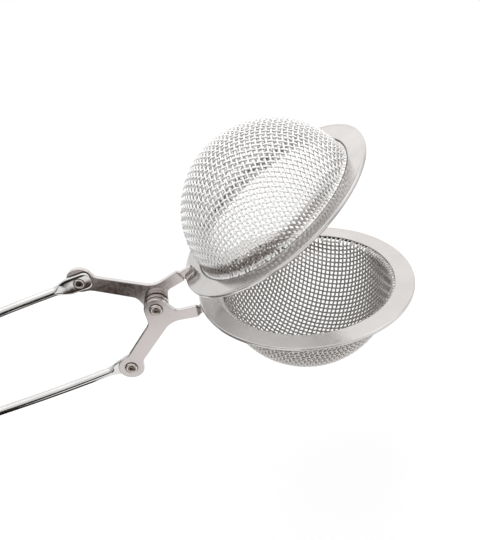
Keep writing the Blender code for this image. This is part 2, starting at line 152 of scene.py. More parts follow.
def ramp(tree, value, low, high, start=0.3, end=0.7):
    """A value that goes from low to high between start and end, which by default suit a noise."""
    node = tree.nodes.new("ShaderNodeMapRange")
    node.inputs["From Min"].default_value = start
    node.inputs["From Max"].default_value = end
    node.inputs["To Min"].default_value = low
    node.inputs["To Max"].default_value = high
    tree.links.new(value, node.inputs["Value"])
    return node.outputs["Result"]


def mixed(tree, share, first, second):
    """A colour that goes from first to second as share goes from 0 to 1."""
    node = tree.nodes.new("ShaderNodeMix")
    node.data_type = "RGBA"
    feed(tree, share, node.inputs["Factor"])
    feed(tree, first, node.inputs["A"])
    feed(tree, second, node.inputs["B"])
    return node.outputs["Result"]


def bump(tree, height, distance, strength, previous=None):
    node = tree.nodes.new("ShaderNodeBump")
    node.inputs["Distance"].default_value = distance
    node.inputs["Strength"].default_value = strength
    tree.links.new(height, node.inputs["Height"])
    if previous is not None:
        tree.links.new(previous, node.inputs["Normal"])
    return node.outputs["Normal"]


def arithmetic(tree, operation, first, second=0.0):
    node = tree.nodes.new("ShaderNodeMath")
    node.operation = operation
    feed(tree, first, node.inputs[0])
    feed(tree, second, node.inputs[1])
    return node.outputs["Value"]


def vector_math(tree, operation, first, second=(0.0, 0.0, 0.0)):
    node = tree.nodes.new("ShaderNodeVectorMath")
    node.operation = operation
    feed(tree, first, node.inputs[0])
    feed(tree, second, node.inputs[1])
    return node


def away_from(tree, value, level):
    """How far a value is from a level, on either side."""
    return arithmetic(tree, "ABSOLUTE", arithmetic(tree, "SUBTRACT", value, level))


def from_ball(tree, place):
    """A point's offset from the ball's middle, and its height above the mating plane."""
    centre, axis = place
    coords = tree.nodes.new("ShaderNodeTexCoord").outputs["Object"]
    offset = vector_math(tree, "SUBTRACT", coords, centre).outputs["Vector"]
    height = vector_math(tree, "DOT_PRODUCT", offset, axis).outputs["Value"]
    return offset, height


def colour_of(material):
    """The socket that feeds the shader's colour so far."""
    return material.node_tree.nodes[SHADER].inputs["Base Color"].links[0].from_socket


def recolour(material, colour):
    tree = material.node_tree
    tree.links.new(colour, tree.nodes[SHADER].inputs["Base Color"])


# ---------------------------------------------------------------- materials
def nodes_of(name):
    material = bpy.data.materials.new(name)
    material.use_nodes = True
    tree = material.node_tree
    return material, tree, tree.nodes[SHADER]


def steel(name, colours, roughness, wave, grain):
    """Stainless steel: slight tarnish, uneven polish, fine grain and, with wave, a gently wavy surface."""
    material, tree, shader = nodes_of(name)
    shader.inputs["Metallic"].default_value = 1.0
    patches = ramp(tree, noise(tree, PATCH_SCALE, 2.0), 0.0, 1.0)
    tree.links.new(mixed(tree, patches, *colours), shader.inputs["Base Color"])
    tree.links.new(ramp(tree, noise(tree, POLISH_SCALE, 4.0), *roughness), shader.inputs["Roughness"])
    normal = bump(tree, noise(tree, GRAIN_SCALE, 2.0), GRAIN_DEPTH, grain)
    if wave > 0.0:
        normal = bump(tree, noise(tree, WAVE_SCALE, 1.0), WAVE_DEPTH, wave, normal)
    tree.links.new(normal, shader.inputs["Normal"])
    return material


def paint_edge_highlight(material, colour):
    """Painted highlight on the cut edges; the broad faces, square to Y, keep their own colour."""
    tree = material.node_tree
    apart = tree.nodes.new("ShaderNodeSeparateXYZ")
    tree.links.new(tree.nodes.new("ShaderNodeTexCoord").outputs["Normal"], apart.inputs[0])
    broad = ramp(tree, arithmetic(tree, "ABSOLUTE", apart.outputs["Y"]), 0.0, 1.0, 0.25, 0.75)
    recolour(material, mixed(tree, broad, colour, colour_of(material)))


def shade_round_pins(material, pins, radius, width):
    """Painted shade round the pins: dark discs of this radius, fading out over width, under the edge of a
    rivet head and in its bore.
    """
    tree = material.node_tree
    coords = tree.nodes.new("ShaderNodeTexCoord").outputs["Object"]
    flat = vector_math(tree, "MULTIPLY", coords, (1.0, 0.0, 1.0)).outputs["Vector"]
    clean = 1.0
    for pin in pins:
        away = vector_math(tree, "DISTANCE", flat, (pin.x, 0.0, pin.z)).outputs["Value"]
        clean = arithmetic(tree, "MINIMUM", clean, ramp(tree, away, 0.0, 1.0, radius, radius + width))
    recolour(material, mixed(tree, clean, RIVET_SHADE, colour_of(material)))


def flange_polish(name, place, line_height):
    """Polished flange, with painted shade where the cloth comes out of it and along one edge of its outer
    fold.
    """
    material = steel(name, FLANGE_COLOURS, (0.10, 0.20), wave=0.35, grain=0.2)
    tree = material.node_tree
    tree.nodes[SHADER].inputs["Metallic"].default_value = FLANGE_METALLIC
    offset, height = from_ball(tree, place)
    sideways = vector_math(tree, "CROSS_PRODUCT", offset, place[1]).outputs["Vector"]
    radius = vector_math(tree, "LENGTH", sideways).outputs["Value"]
    mouth = ramp(tree, radius, 1.0, 0.0, MOUTH_RADIUS + 0.10 * MM, MOUTH_RADIUS + 0.34 * MM)
    behind = ramp(tree, height, 0.0, 1.0, RIM_BACK - 0.32 * MM, RIM_BACK - 0.26 * MM)
    outer = ramp(tree, radius, 0.0, 1.0, RIM_RADIUS - 0.26 * MM, RIM_RADIUS - 0.16 * MM)
    on_line = ramp(tree, away_from(tree, height, line_height), 1.0, 0.0, 0.10 * MM, 0.20 * MM)
    at_cloth = arithmetic(tree, "MULTIPLY", mouth, behind)
    at_edge = arithmetic(tree, "MULTIPLY", outer, on_line)
    painted_shade = arithmetic(tree, "MAXIMUM", at_cloth, at_edge)
    recolour(material, mixed(tree, painted_shade, colour_of(material), FLANGE_SHADE))
    return material


def shaded(colour, share):
    """A darker colour, for painted shade, that is also a little warmer, since green and blue lose more than
    red.
    """
    return (colour[0] * share, colour[1] * share ** 1.06, colour[2] * share ** 1.12, 1.0)


def shade_band_share(tree, offset, height):
    """A band of painted shade round the ball near the flange, which fades away from the hinge."""
    band = arithmetic(tree, "MULTIPLY", ramp(tree, height, 0.0, 1.0, SHADE_FOOT, SHADE_LOW),
                      ramp(tree, height, 1.0, 0.0, SHADE_HIGH, SHADE_TOP))
    along = vector_math(tree, "DOT_PRODUCT", offset, (1.0, 0.0, 0.0)).outputs["Value"]
    near_hinge = ramp(tree, along, 1.0, 0.15, 2.0 * MM, 14.0 * MM)
    patches = ramp(tree, noise(tree, WAVE_SCALE, 2.0), 0.8, 1.0)
    return arithmetic(tree, "MULTIPLY", band, arithmetic(tree, "MULTIPLY", patches, near_hinge))


def woven_wire(name, place, share):
    """Bright wire, painted near white on its crests as if lit, with painted shade in its dips and in a band
    round the ball.
    """
    clean, worn = (shaded(colour, share) for colour in CREST_COLOURS)
    material = steel(name, (clean, worn), (0.24, 0.38), wave=0.0, grain=0.2)
    tree = material.node_tree
    tree.nodes[SHADER].inputs["Metallic"].default_value = CLOTH_METALLIC
    offset, height = from_ball(tree, place)
    radius = vector_math(tree, "LENGTH", offset).outputs["Value"]
    # The crest mask: the wire's outer side keeps its bright, painted-lit colour, and its dips take painted
    # shade
    crest = ramp(tree, away_from(tree, radius, NET_RADIUS), 0.0, 1.0, 0.04 * MM, 0.15 * MM)
    band_shade = shade_band_share(tree, offset, height)
    foot = ramp(tree, height, 0.0, 1.0, SHADE_FOOT - 0.2 * MM, SHADE_FOOT)
    shaded_dips = mixed(tree, band_shade, mixed(tree, foot, worn, shaded(DIP_SHADE, share)), DIP_BAND_SHADE)
    crests = mixed(tree, band_shade, colour_of(material), CREST_BAND_SHADE)
    recolour(material, mixed(tree, crest, shaded_dips, crests))
    return material


stamped = steel("lever_satin", LEVER_COLOURS, (0.14, 0.20), wave=0.06, grain=0.08)
wire_steel = steel("drawn_wire", WIRE_COLOURS, (0.05, 0.13), wave=0.25, grain=0.25)
rivet_steel = steel("rivet_bright", RIVET_COLOURS, (0.10, 0.2), wave=0.3, grain=0.3)
paint_edge_highlight(stamped, LEVER_EDGE_HIGHLIGHT)
# Painted shade round the rivets: a dark ring round each head on the lever and blade, and in each bore
shade_round_pins(stamped, (PIVOT, UPPER_PIN, LOWER_PIN), radius=1.62 * MM, width=0.28 * MM)
shade_round_pins(rivet_steel, (PIVOT, UPPER_PIN, LOWER_PIN), radius=0.40 * MM, width=0.25 * MM)
shade_round_pins(wire_steel, (UPPER_PIN,), radius=1.34 * MM, width=0.26 * MM)
net_upper = woven_wire("upper_woven_wire", UPPER_PLACE, 1.0)
net_lower = woven_wire("lower_woven_wire", LOWER_PLACE, LOWER_SHADE_SHARE)
flange_upper = flange_polish("upper_flange_polish", UPPER_PLACE, MATING_GAP + 0.06 * MM)
flange_lower = flange_polish("lower_flange_polish", LOWER_PLACE, RIM_BACK)


# ---------------------------------------------------------------- pieces
def keep_flats_flat(piece):
    """Shade a small round without bending the shading of the flat face beside it."""
    modifier = piece.modifiers.new("normals", "WEIGHTED_NORMAL")
    modifier.keep_sharp = True
    modifier.weight = 100
    evaluated = piece.evaluated_get(bpy.context.evaluated_depsgraph_get())
    result = bpy.data.meshes.new_from_object(evaluated)
    piece.modifiers.clear()
    piece.data = result


def dress(name, mesh, material, matrix, body, nodes, angle=40.0, flat=True):
    """A finished piece, riding on a CAD body and standing for CAD nodes; edges over angle stay sharp."""
    mesh.transform(matrix)
    mesh.materials.clear()
    mesh.materials.append(material)
    bm = bmesh.new()
    bm.from_mesh(mesh)
    bmesh.ops.recalc_face_normals(bm, faces=bm.faces)
    bm.to_mesh(mesh)
    bm.free()
    mesh.shade_smooth()
    mesh.set_sharp_from_angle(angle=math.radians(angle))
    piece = bpy.data.objects.new(name, mesh)
    bpy.context.scene.collection.objects.link(piece)
    if flat:
        keep_flats_flat(piece)
    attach(piece, body)
    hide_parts(*nodes)
    return piece


def new_mesh(name, verts, faces):
    mesh = bpy.data.meshes.new(name)
    mesh.from_pydata([tuple(v) for v in verts], [], faces)
    return mesh


def add(name, shape, material, matrix, body, nodes, angle=40.0, flat=True):
    """A finished piece from a shape, which is its vertices and faces."""
    return dress(name, new_mesh(name, *shape), material, matrix, body, nodes, angle, flat)


# ---------------------------------------------------------------- shapes
def smooth_step(value, start, end):
    """0 before start, 1 after end, and a soft S between."""
    share = min(max((value - start) / (end - start), 0.0), 1.0)
    return share * share * (3.0 - 2.0 * share)


def arc(centre, radius, start, end, count):
    angles = [start + (end - start) * i / count for i in range(count + 1)]
    return [(centre[0] + radius * math.cos(a), centre[1] + radius * math.sin(a)) for a in angles]


def rounded(corners, steps=10):
    """An outline from (x, z, radius) corners; a radius above zero becomes an arc."""
    points = []
    for i, (x, z, radius) in enumerate(corners):
        here = Vector((x, z))
        if radius <= 0.0:
            points.append((x, z))
            continue
        back = (Vector(corners[i - 1][:2]) - here).normalized()
        ahead = (Vector(corners[(i + 1) % len(corners)][:2]) - here).normalized()
        half = back.angle(ahead) / 2.0
        start = here + back * radius / math.tan(half)
        end = here + ahead * radius / math.tan(half)
        centre = here + (back + ahead).normalized() * radius / math.sin(half)
        first = math.atan2(start.y - centre.y, start.x - centre.x)
        sweep = math.atan2(end.y - centre.y, end.x - centre.x) - first
        sweep = (sweep + math.pi) % (2.0 * math.pi) - math.pi
        points.extend(arc(centre, radius, first, first + sweep, steps))
    return points


def lathe(profile, segments, axis, closed=True):
    """Vertices and faces of a shape turned about Z or Y, from (radius, height) points."""
    verts, faces, rows = [], [], []
    for radius, height in profile:
        if radius < TINY:
            rows.append([len(verts)] * segments)
            verts.append((0.0, 0.0, height) if axis == "Z" else (0.0, height, 0.0))
            continue
        rows.append(list(range(len(verts), len(verts) + segments)))
        for k in range(segments):
            a = 2.0 * math.pi * k / segments
            x, y = radius * math.cos(a), radius * math.sin(a)
            verts.append((x, y, height) if axis == "Z" else (x, height, y))
    pairs = list(zip(rows, rows[1:])) + ([(rows[-1], rows[0])] if closed else [])
    for one, two in pairs:
        for k in range(segments):
            m = (k + 1) % segments
            face = [one[k], one[m], two[m], two[k]]
            face = [v for n, v in enumerate(face) if v not in face[:n]]
            if len(face) > 2:
                faces.append(face)
    return verts, faces


def tube_faces(base, rings, sides):
    """Faces that join rings of vertices, numbered from base, into a tube closed at both ends."""
    faces = []
    for k in range(rings - 1):
        one = base + k * sides
        two = one + sides
        for n in range(sides):
            m = (n + 1) % sides
            faces.append((one + n, one + m, two + m, two + n))
    top = base + (rings - 1) * sides
    faces.append(tuple(range(base + sides - 1, base - 1, -1)))
    faces.append(tuple(range(top, top + sides)))
    return faces


# ---------------------------------------------------------------- rims
def rim_profile():
    """Front plate with an inner roll and an outer edge folded back over the flange ring."""
    front, back = MATING_GAP, MATING_GAP + 0.3 * MM
    hem = RIM_BACK + 0.04 * MM
    roll, edge, hem_round, lip = 0.13 * MM, 0.34 * MM, 0.2 * MM, 0.05 * MM
    hem_width, fold, fold_depth = 0.62 * MM, 0.3 * MM, 0.12 * MM
    points = arc((MOUTH_RADIUS + roll, front + roll), roll, math.pi, 1.5 * math.pi, 5)
    points += arc((RIM_RADIUS - edge, front + edge), edge, -0.5 * math.pi, 0.0, 7)
    points += arc((RIM_RADIUS - hem_round, hem - hem_round), hem_round, 0.0, 0.5 * math.pi, 5)
    points += arc((RIM_RADIUS - hem_width, hem - lip), lip, 0.5 * math.pi, 1.5 * math.pi, 4)
    points += [(RIM_RADIUS - fold, hem - fold_depth), (RIM_RADIUS - fold, back), (MOUTH_RADIUS, back)]
    return points


def ring_profile():
    """Flat ring behind the rim plate, which holds down the brim of the cloth."""
    inner, outer = MOUTH_RADIUS - 0.12 * MM, RIM_RADIUS - 0.34 * MM
    low, top = RIM_BACK - 0.3 * MM, RIM_BACK
    soft = 0.16 * MM
    points = [(inner + 0.05 * MM, low), (outer, low), (outer, top)]
    points += arc((inner + soft, top - soft), soft, 0.5 * math.pi, math.pi, 5)
    return points


# ---------------------------------------------------------------- woven half ball
# Where a wire bends in its brim: distance from the ball's axis, height over the middle of the flange
BRIM_BENDS = ((22.05 * MM, 0.22 * MM), (22.35 * MM, 0.04 * MM), (23.2 * MM, 0.0))
BRIM_MIDDLE = (MATING_GAP + RIM_BACK) / 2.0 + 0.03 * MM
BRIM_FOOT = (RIM_BACK + 0.1 * MM) / NET_RADIUS
BRIM_LEAN = 0.2
CRIMP = 0.92 * NET_WIRE_RADIUS
CLOTH_END = -0.12


def net_quarter(count):
    """A quarter of the cloth's crossings on a ball of radius 1: every cell keeps its four sides."""
    step = NET_PITCH / NET_RADIUS
    quarter = {}
    for i in range(count + 1):
        quarter[i, 0] = Vector((math.sin(i * step), 0.0, math.cos(i * step)))
        quarter[0, i] = Vector((0.0, math.sin(i * step), math.cos(i * step)))
    for i in range(1, count + 1):
        for j in range(1, count + 1):
            before = [quarter.get(key) for key in ((i - 1, j - 1), (i, j - 1), (i - 1, j))]
            if any(p is None or p.z < CLOTH_END for p in before):
                continue
            normal = before[1].cross(before[2]).normalized()
            quarter[i, j] = before[0] - normal * 2.0 * before[0].dot(normal)
    return quarter


def net_points(turn, count):
    """All crossings of a square cloth drawn over a half ball, turned about its axis."""
    spin = Matrix.Rotation(turn, 3, "Z")
    points = {}
    for (i, j), p in net_quarter(count).items():
        for a in (1, -1):
            for b in (1, -1):
                points[a * i, b * j] = spin @ Vector((a * p.x, b * p.y, p.z))
    return points


def net_strands(turn):
    """Centre lines of the woven wires as (position, outward direction) pairs."""
    count = int(0.5 * math.pi / (NET_PITCH / NET_RADIUS)) + 3
    points = net_points(turn, count)
    strands = []
    for family in (0, 1):
        for across in range(-count, count + 1):
            run = []
            for along in range(-count, count + 1):
                point = points.get((along, across) if family == 0 else (across, along))
                if point is not None:
                    run.append((point, 1.0 if (along + across + family) % 2 == 0 else -1.0))
            keep = [k for k, (point, side) in enumerate(run) if point.z > BRIM_FOOT]
            if len(keep) > 2:
                strands.append(weave(run, keep[0], keep[-1]))
    return strands


def brim(inside, outside):
    """A wire's end: from its last crossing to the foot of the ball, then out between the two rings."""
    share = (inside.z - BRIM_FOOT) / max(inside.z - outside.z, TINY)
    edge = inside.lerp(outside, min(max(share, 0.0), 1.0)).normalized()
    flat = Vector((edge.x, edge.y, 0.0)).normalized()
    ends = [(edge * NET_RADIUS, edge)]
    for reach, height in BRIM_BENDS:
        point = flat * reach + Vector((0.0, 0.0, BRIM_MIDDLE + height))
        ends.append((point, Vector((0.0, 0.0, 1.0)) + flat * BRIM_LEAN))
    return ends


def weave(run, first, last):
    """One wire, over and under the wires that it crosses, with a brim at either end."""
    line = []
    if first > 0:
        line += brim(run[first][0], run[first - 1][0])[::-1]
    for k in range(first, last + 1):
        point, side = run[k]
        line.append((point * (NET_RADIUS + side * CRIMP), point))
        if k < last:
            middle = (point + run[k + 1][0]).normalized()
            line.append((middle * NET_RADIUS, middle))
    if last < len(run) - 1:
        line += brim(run[last][0], run[last + 1][0])
    return line


def tubes(strands, radius, sides):
    """Round wires along centre lines, all as one shape."""
    verts, faces = [], []
    angles = [2.0 * math.pi * k / sides for k in range(sides)]
    for line in strands:
        faces += tube_faces(len(verts), len(line), sides)
        for k, (point, out) in enumerate(line):
            ahead = line[min(k + 1, len(line) - 1)][0] - line[max(k - 1, 0)][0]
            tangent = ahead.normalized()
            side = tangent.cross(out).normalized()
            up = side.cross(tangent)
            for a in angles:
                verts.append(point + up * (radius * math.cos(a)) + side * (radius * math.sin(a)))
    return verts, faces


# ---------------------------------------------------------------- levers
# Corners of the lever: (x, z, fillet) near the pivot, (along, across, fillet) on the rear arm
SHOULDER = (3.05 * MM, 4.2 * MM, 6.0 * MM)
EAR_FILLET = (4.9 * MM, 1.05 * MM, 1.7 * MM)
FRONT_NECK = (17.08 * MM, 2.1 * MM, 2.6 * MM)
REAR_NECK = (16.8 * MM, -1.9 * MM, 4.6 * MM)
WAIST = (5.1 * MM, -0.2 * MM, 3.0 * MM)
DISC_RADIUS, DISC_WRAP = 3.4 * MM, math.radians(125.0)
EAR_RADIUS, EAR_START, EAR_END = 3.1 * MM, math.radians(172.0), math.radians(338.0)
HEEL_X, TOE_X, FRONT_END = 10.0 * MM, 10.6 * MM, 14.5 * MM
HEEL_Z, FRONT_TOP = 0.4 * MM, 3.2 * MM
FOOT = RIM_BACK + 0.1 * MM

JOGGLE_START, JOGGLE_END, JOGGLE_CUTS = 9.9 * MM, 11.3 * MM, 8
LEVER_ROLL, SHOE_ROLL, ROLL_STEPS = 0.17 * MM, 0.22 * MM, 4
SHOE_BACK, SHOE_FRONT, SHOE_WIDTH = 11.5 * MM, 14.35 * MM, 1.3 * MM
SHOE_LOW, SHOE_HIGH, SHOE_OVERLAP = FOOT + 0.02 * MM, FOOT + 0.8 * MM, 0.12 * MM
HOLE_RADIUS, DRILL_LENGTH = 1.15 * MM, 12.0 * MM
REAR_HOLE = (ARM * math.cos(ARM_ANGLE), ARM * math.sin(ARM_ANGLE))


def boolean(mesh, other, operation):
    body = bpy.data.objects.new("body", mesh)
    tool = bpy.data.objects.new("tool", other)
    bpy.context.scene.collection.objects.link(body)
    bpy.context.scene.collection.objects.link(tool)
    modifier = body.modifiers.new("Boolean", "BOOLEAN")
    modifier.operation = operation
    modifier.solver = "EXACT"
    modifier.object = tool
    result = bpy.data.meshes.new_from_object(body.evaluated_get(bpy.context.evaluated_depsgraph_get()))
    bpy.data.objects.remove(body, do_unlink=True)
    bpy.data.objects.remove(tool, do_unlink=True)
    return result


def slab(outline, along, low, high, roll, only_high=False):
    """A flat outline given thickness along "Y" or "Z", with all its edges rolled or only the high ones."""
    bm = bmesh.new()
    axis = "XYZ".index(along)
    corners = [(u, low, v) if along == "Y" else (u, v, low) for u, v in outline]
    face = bm.faces.new([bm.verts.new(corner) for corner in corners])
    move = (0.0, high - low, 0.0) if along == "Y" else (0.0, 0.0, high - low)
    grown = bmesh.ops.extrude_face_region(bm, geom=[face])
    bmesh.ops.translate(bm, verts=[g for g in grown["geom"] if isinstance(g, bmesh.types.BMVert)], vec=move)
    bmesh.ops.recalc_face_normals(bm, faces=bm.faces)
    rims = [e for e in bm.edges if abs(e.verts[0].co[axis] - e.verts[1].co[axis]) < TINY]
    if only_high:
        rims = [e for e in rims if abs(e.verts[0].co[axis] - high) < TINY]
    bmesh.ops.bevel(bm, geom=rims, offset=roll, segments=ROLL_STEPS, profile=0.5, affect="EDGES")
    return bm


def to_mesh(bm, name):
    bmesh.ops.recalc_face_normals(bm, faces=bm.faces)
    mesh = bpy.data.meshes.new(name)
    bm.to_mesh(mesh)
    bm.free()
    return mesh


def on_arm(corner):
    """A corner given along and across the rear arm, as (x, z, radius)."""
    along, across, radius = corner
    x = along * math.cos(ARM_ANGLE) + across * math.sin(ARM_ANGLE)
    z = along * math.sin(ARM_ANGLE) - across * math.cos(ARM_ANGLE)
    return (x, z, radius)


def lever_outline():
    """Front arm, shoulder, rear arm with its disc, and the ear round the pivot."""
    disc = arc(REAR_HOLE, DISC_RADIUS, ARM_ANGLE - DISC_WRAP, ARM_ANGLE + DISC_WRAP, 40)
    ear = arc((0.0, 0.0), EAR_RADIUS, EAR_START, EAR_END, 30)
    corners = [
        (HEEL_X, HEEL_Z, 0.0),
        (TOE_X, FOOT, 0.0),
        (FRONT_END, FOOT, 0.0),
        (FRONT_END, FRONT_TOP, 0.7 * MM),
        SHOULDER,
        on_arm(FRONT_NECK),
    ]
    corners += [(x, z, 0.0) for x, z in disc]
    corners += [on_arm(REAR_NECK), on_arm(WAIST)]
    corners += [(x, z, 0.0) for x, z in ear]
    return rounded(corners + [EAR_FILLET])


def shoe_mesh():
    """The bent foot beside the front end of the lever."""
    inner = PLATE / 2.0 - SHOE_OVERLAP
    outer = -PLATE / 2.0 - SHOE_WIDTH
    outline = rounded([
        (SHOE_BACK, inner, 0.0),
        (SHOE_BACK, outer, 0.6 * MM),
        (SHOE_FRONT, outer, 0.7 * MM),
        (SHOE_FRONT, inner, 0.0),
    ])
    return to_mesh(slab(outline, "Z", SHOE_LOW, SHOE_HIGH, SHOE_ROLL, True), "shoe")


def joggle(bm):
    """Bend the front arm sideways, from the lever's own layer to Y = 0."""
    for k in range(JOGGLE_CUTS + 1):
        cut = JOGGLE_START + (JOGGLE_END - JOGGLE_START) * k / JOGGLE_CUTS
        geom = bm.verts[:] + bm.edges[:] + bm.faces[:]
        bmesh.ops.bisect_plane(bm, geom=geom, plane_co=(cut, 0.0, 0.0), plane_no=(1.0, 0.0, 0.0))
    for vert in bm.verts:
        vert.co.y -= LAYER * smooth_step(vert.co.x, JOGGLE_START, JOGGLE_END)
    bmesh.ops.triangulate(bm, faces=[f for f in bm.faces if len(f.verts) > 4])


def drill_mesh(x, z):
    bm = bmesh.new()
    place = Matrix.Translation((x, 0.0, z)) @ Matrix.Rotation(math.pi / 2.0, 4, "X")
    bmesh.ops.create_cone(bm, cap_ends=True, segments=DRILL_SEGMENTS, radius1=HOLE_RADIUS,
                          radius2=HOLE_RADIUS, depth=DRILL_LENGTH, matrix=place)
    return to_mesh(bm, "drill")


def joined_flats(mesh):
    """Join the coplanar faces that a Boolean leaves, so that a flat face shades as one."""
    bm = bmesh.new()
    bm.from_mesh(mesh)
    bmesh.ops.remove_doubles(bm, verts=bm.verts, dist=0.001 * MM)
    bmesh.ops.dissolve_limit(bm, angle_limit=math.radians(0.5), verts=bm.verts, edges=bm.edges)
    return to_mesh(bm, "plate")


def lever_mesh():
    """The stamped plate in its own frame, with its bent foot and both rivet holes."""
    bm = slab(lever_outline(), "Y", LAYER - PLATE / 2.0, LAYER + PLATE / 2.0, LEVER_ROLL)
    joggle(bm)
    plate = boolean(to_mesh(bm, "plate"), shoe_mesh(), "UNION")
    for x, z in ((0.0, 0.0), REAR_HOLE):
        plate = boolean(plate, drill_mesh(x, z), "DIFFERENCE")
    return joined_flats(plate)


# ---------------------------------------------------------------- rivets and spacer
SHANK_RADIUS = 0.75 * MM
HEAD_GAP = 0.06 * MM
SPACER_INNER, SPACER_OUTER, SPACER_HALF = 1.3 * MM, 3.2 * MM, 0.5 * MM
BORE_DEPTH, BORE_CORNER, BORE_MOUTH = 1.0 * MM, 0.9 * MM, 0.5 * MM
DOME_RADIUS, DOME_RISE, DOME_RIM, DOME_STEPS = 1.8 * MM, 0.5 * MM, 0.2 * MM, 9

# Piece, CAD node, body and place of each rivet; front and back of what it holds, radii of head and roll
RIVETS = (
    ("centre_rivet_look", "centre_rivet", "lower_half", PIVOT,
     (-PLATE_FACE, PLATE_FACE, 1.65 * MM, 0.42 * MM)),
    ("lower_rivet_look", "lower_rear_rivet", "lower_half", LOWER_PIN,
     (-PLATE_FACE, BLADE_HALF_DEPTH, 1.6 * MM, 0.38 * MM)),
    ("upper_rivet_look", "upper_rear_rivet", "upper_half", UPPER_PIN,
     (-BLADE_HALF_DEPTH, PLATE_FACE, 1.35 * MM, 0.26 * MM)),
)


def rivet_profile(front, back, radius, roll):
    """A semi-tubular rivet along Y: rolled ring head in front, low dome behind."""
    under = front - HEAD_GAP
    top = under - 1.35 * roll
    bore = radius - 2.0 * roll
    points = [(0.0, under + BORE_DEPTH), (bore * 0.9, under + BORE_CORNER), (bore, under + BORE_MOUTH)]
    points += arc((bore + roll, top + roll), roll, math.pi, 2.0 * math.pi, 12)
    points += [(radius - HEAD_GAP, under), (SHANK_RADIUS, under), (SHANK_RADIUS, back + HEAD_GAP)]
    points += [(DOME_RADIUS, back + HEAD_GAP), (DOME_RADIUS, back + DOME_RIM)]
    for k in range(1, DOME_STEPS):
        a = 0.5 * math.pi * k / DOME_STEPS
        points.append((DOME_RADIUS * math.cos(a), back + DOME_RIM + DOME_RISE * math.sin(a)))
    return points + [(0.0, back + DOME_RIM + DOME_RISE)]


def washer_profile(inner, outer, low, high):
    soft = 0.1 * MM
    points = arc((outer - soft, high - soft), soft, 0.5 * math.pi, 0.0, 3)
    points += arc((outer - soft, low + soft), soft, 0.0, -0.5 * math.pi, 3)
    return points + [(inner, low), (inner, high)]


# ---------------------------------------------------------------- handle
# A leg bows gently from its heading at the blade to its heading at the bend, and the bend is round.
LEG_LENGTH = 80.0 * MM
LEG_START, LEG_END = math.radians(2.0), math.radians(6.0)
LEG_BOW = LEG_LENGTH / (math.sin(LEG_START) + math.sin(LEG_END))
LEG_DROP = LEG_BOW * (math.cos(LEG_START) - math.cos(LEG_END))
BEND_RADIUS = ((UPPER_PIN - LOWER_PIN).length / 2.0 - LEG_DROP) / math.cos(LEG_END)
BEND_STEPS = 28

WIRE_RADIUS = 1.15 * MM
BLADE_HALF_WIDTH = 2.25 * MM
BLADE_TIP, TIP_ROUND, TIP_STEPS = 3.0 * MM, 1.6 * MM, 8
NARROWING_START, THICKENING_START, BLADE_END = 2.5 * MM, 4.6 * MM, 6.6 * MM
# Where the blade has a ring of points, in mm from the pivot; the rest of the leg has them evenly
BLADE_STATIONS = (0.0, 1.0, 2.0, 3.0, 3.8, 4.4, 4.8, 5.2, 5.6, 6.0, 6.3, 6.6, 7.0, 7.6)
WIRE_START, WIRE_STEPS = 8.4 * MM, 30
# Exponents of the cross-section: an ellipse, and a box with round corners
ROUND, SQUARE = 2.0, 6.0

PLUG_LENGTH, PLUG_STEPS = 1.6 * MM, 4
PLUG_PLAY, PLUG_STEP = 0.03 * MM, 0.01 * MM


def blade_tip():
    """The blade's rounded end, from its tip to the pivot."""
    line = []
    for k in range(TIP_STEPS + 1):
        a = 0.5 * math.pi * k / TIP_STEPS
        reach = BLADE_TIP - TIP_ROUND * (1.0 - math.cos(a))
        width = BLADE_HALF_WIDTH * (0.22 + 0.78 * math.sin(a) ** 0.7)
        x, z = reach * math.cos(LEG_START), -reach * math.sin(LEG_START)
        line.append((x, z, LEG_START, width, BLADE_HALF_DEPTH, SQUARE))
    return line


def leg_side():
    """From the pivot along the flat blade, which turns into round wire, to where the bend starts."""
    distances = [station * MM for station in BLADE_STATIONS]
    distances += [WIRE_START + (LEG_LENGTH - WIRE_START) * k / WIRE_STEPS for k in range(WIRE_STEPS + 1)]
    line = []
    for distance in distances:
        heading = LEG_START - (LEG_START + LEG_END) * distance / LEG_LENGTH
        along = LEG_BOW * (math.sin(LEG_START) - math.sin(heading))
        rise = LEG_BOW * (math.cos(heading) - math.cos(LEG_START))
        narrow = smooth_step(distance, NARROWING_START, BLADE_END)
        thick = smooth_step(distance, THICKENING_START, BLADE_END)
        width = BLADE_HALF_WIDTH + (WIRE_RADIUS - BLADE_HALF_WIDTH) * narrow
        depth = BLADE_HALF_DEPTH + (WIRE_RADIUS - BLADE_HALF_DEPTH) * thick
        line.append((-along, rise, heading, width, depth, SQUARE + (ROUND - SQUARE) * thick))
    return line


def leg_bend(start_x, start_z):
    """Half of the handle's bend, up to the middle, where the two legs meet."""
    line = []
    for k in range(1, BEND_STEPS + 1):
        heading = -LEG_END - (0.5 * math.pi - LEG_END) * k / BEND_STEPS
        along = BEND_RADIUS * (math.sin(-heading) - math.sin(LEG_END))
        fall = BEND_RADIUS * (math.cos(LEG_END) - math.cos(heading))
        line.append((start_x - along, start_z - fall, heading, WIRE_RADIUS, WIRE_RADIUS, ROUND))
    return line


def leg_plug(x, z):
    """A slightly thinner end that goes on round the bend and slips into the other leg."""
    line = []
    radius = WIRE_RADIUS - PLUG_PLAY
    for k in range(PLUG_STEPS + 1):
        turn = PLUG_LENGTH / BEND_RADIUS * k / PLUG_STEPS
        along = BEND_RADIUS * (1.0 - math.cos(turn))
        fall = BEND_RADIUS * math.sin(turn) + (PLUG_STEP if k == 0 else 0.0)
        line.append((x + along, z - fall, -0.5 * math.pi - turn, radius, radius, ROUND))
    return line


